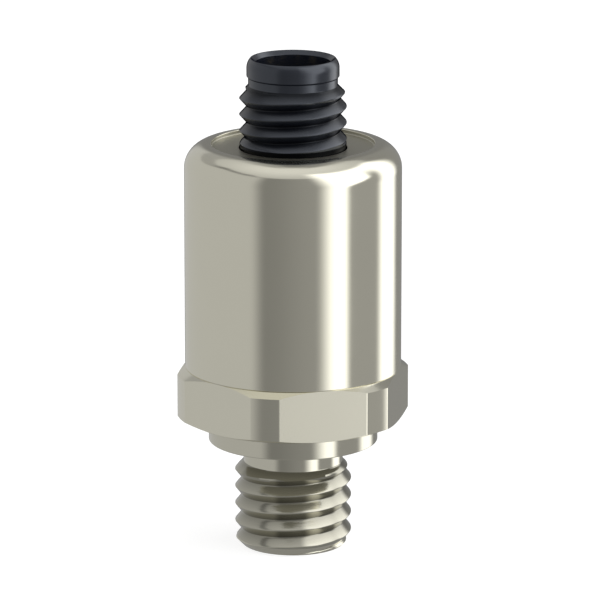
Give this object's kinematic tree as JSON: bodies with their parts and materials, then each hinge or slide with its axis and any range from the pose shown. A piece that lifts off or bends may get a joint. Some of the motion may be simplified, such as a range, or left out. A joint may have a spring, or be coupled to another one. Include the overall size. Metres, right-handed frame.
{
  "type": "pressure transmitter",
  "caption": "Compact pressure transmitter: round steel can on a hexagonal port body with an external process thread, and a threaded plastic plug connector on top.",
  "frame": {"origin": "centre of the lower end face of the process thread", "axes": "+Z along the axis towards the plug connector, -Y square to one flat of the hexagon"},
  "size_m": [0.026, 0.024, 0.0553],
  "materials": {
    "polished_steel": "polished",
    "black_plastic": "moulded, semi gloss",
    "seal_rubber": "matt",
    "white_ceramic": "ground",
    "solder_glass": "fired",
    "frame_plastic": "moulded",
    "green_board": "lacquered",
    "chip_epoxy": "moulded",
    "capacitor_ceramic": "fired",
    "gold_plate": "plated",
    "tinned_pin": "tinned"
  },
  "bodies": {
    "root": {"port_body": "polished_steel", "cell_seal": "seal_rubber", "cell_diaphragm": "white_ceramic", "cell_joint": "solder_glass", "cell_base": "white_ceramic", "cell_pins": "tinned_pin", "thrust_ring": "frame_plastic", "lock_ring": "polished_steel", "board_frame": "frame_plastic", "signal_board": "green_board", "signal_chip": "chip_epoxy", "memory_chip": "chip_epoxy", "signal_capacitors": "capacitor_ceramic", "signal_resistors": "chip_epoxy", "link_header": "chip_epoxy", "link_pins": "tinned_pin", "filter_board": "green_board", "filter_coil": "chip_epoxy", "filter_capacitors": "capacitor_ceramic", "surge_diodes": "chip_epoxy", "contact_carrier": "black_plastic", "connector_shell": "black_plastic", "connector_seal": "seal_rubber", "can_seal": "seal_rubber", "can": "polished_steel", "contact_pin_1": "gold_plate", "contact_pin_2": "gold_plate", "contact_pin_3": "gold_plate", "contact_pin_4": "gold_plate"}
  },
  "joints": []
}
